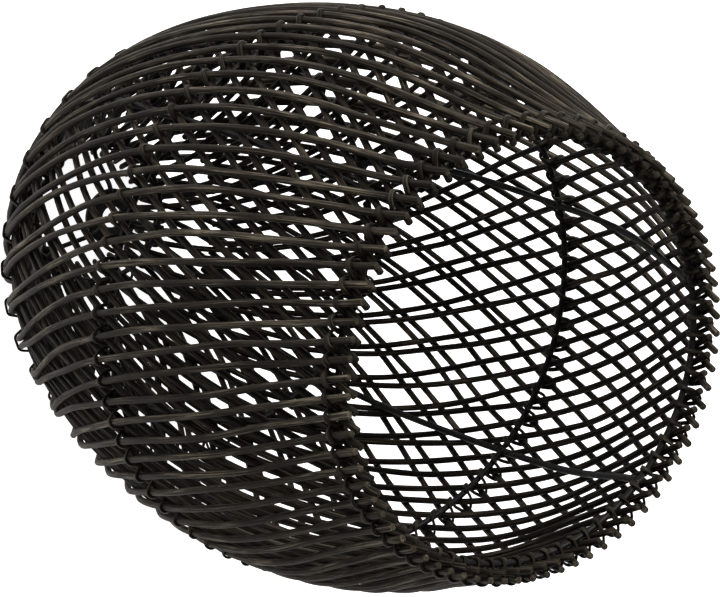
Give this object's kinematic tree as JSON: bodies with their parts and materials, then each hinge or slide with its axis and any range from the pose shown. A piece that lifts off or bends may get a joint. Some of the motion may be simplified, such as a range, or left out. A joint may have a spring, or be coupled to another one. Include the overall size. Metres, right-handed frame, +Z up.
{
  "type": "woven cane shade",
  "caption": "Tall rounded openwork shade woven from round dark cane, wide open mouth at one end, small neck ring with a lamp washer on three wires at the other.",
  "frame": {"origin": "on the axis, in the plane of the trimmed cane ends at the narrow end it stands on", "axes": "+Z up the axis from the narrow end to the wide mouth; +X towards the side the picture looks at"},
  "size_m": [0.2916, 0.2916, 0.4484],
  "materials": {
    "cane": "satin",
    "frame_steel": "satin",
    "binding": "satin",
    "fitter_steel": "satin"
  },
  "bodies": {
    "root": {"outer_canes_01": "cane", "outer_canes_02": "cane", "outer_canes_03": "cane", "outer_canes_04": "cane", "outer_canes_05": "cane", "outer_canes_06": "cane", "outer_canes_07": "cane", "outer_canes_08": "cane", "outer_canes_09": "cane", "outer_canes_10": "cane", "outer_canes_11": "cane", "outer_canes_12": "cane", "outer_canes_13": "cane", "outer_canes_14": "cane", "outer_canes_15": "cane", "outer_canes_16": "cane", "outer_canes_17": "cane", "outer_canes_18": "cane", "outer_canes_19": "cane", "inner_canes_01": "cane", "inner_canes_02": "cane", "inner_canes_03": "cane", "inner_canes_04": "cane", "inner_canes_05": "cane", "inner_canes_06": "cane", "inner_canes_07": "cane", "inner_canes_08": "cane", "inner_canes_09": "cane", "inner_canes_10": "cane", "inner_canes_11": "cane", "inner_canes_12": "cane", "inner_canes_13": "cane", "inner_canes_14": "cane", "inner_canes_15": "cane", "inner_canes_16": "cane", "inner_canes_17": "cane", "inner_canes_18": "cane", "inner_canes_19": "cane", "rib_1": "frame_steel", "rib_2": "frame_steel", "rib_3": "frame_steel", "rib_4": "frame_steel", "rib_5": "frame_steel", "rib_6": "frame_steel", "neck_ring": "frame_steel", "shoulder_hoop": "frame_steel", "belly_hoop": "frame_steel", "rim_hoop": "frame_steel", "neck_lashing": "binding", "shoulder_lashing": "binding", "belly_lashing": "binding", "rim_lashing": "binding", "fitter_washer": "fitter_steel", "fitter_arm_1": "fitter_steel", "fitter_arm_2": "fitter_steel", "fitter_arm_3": "fitter_steel"}
  },
  "joints": []
}
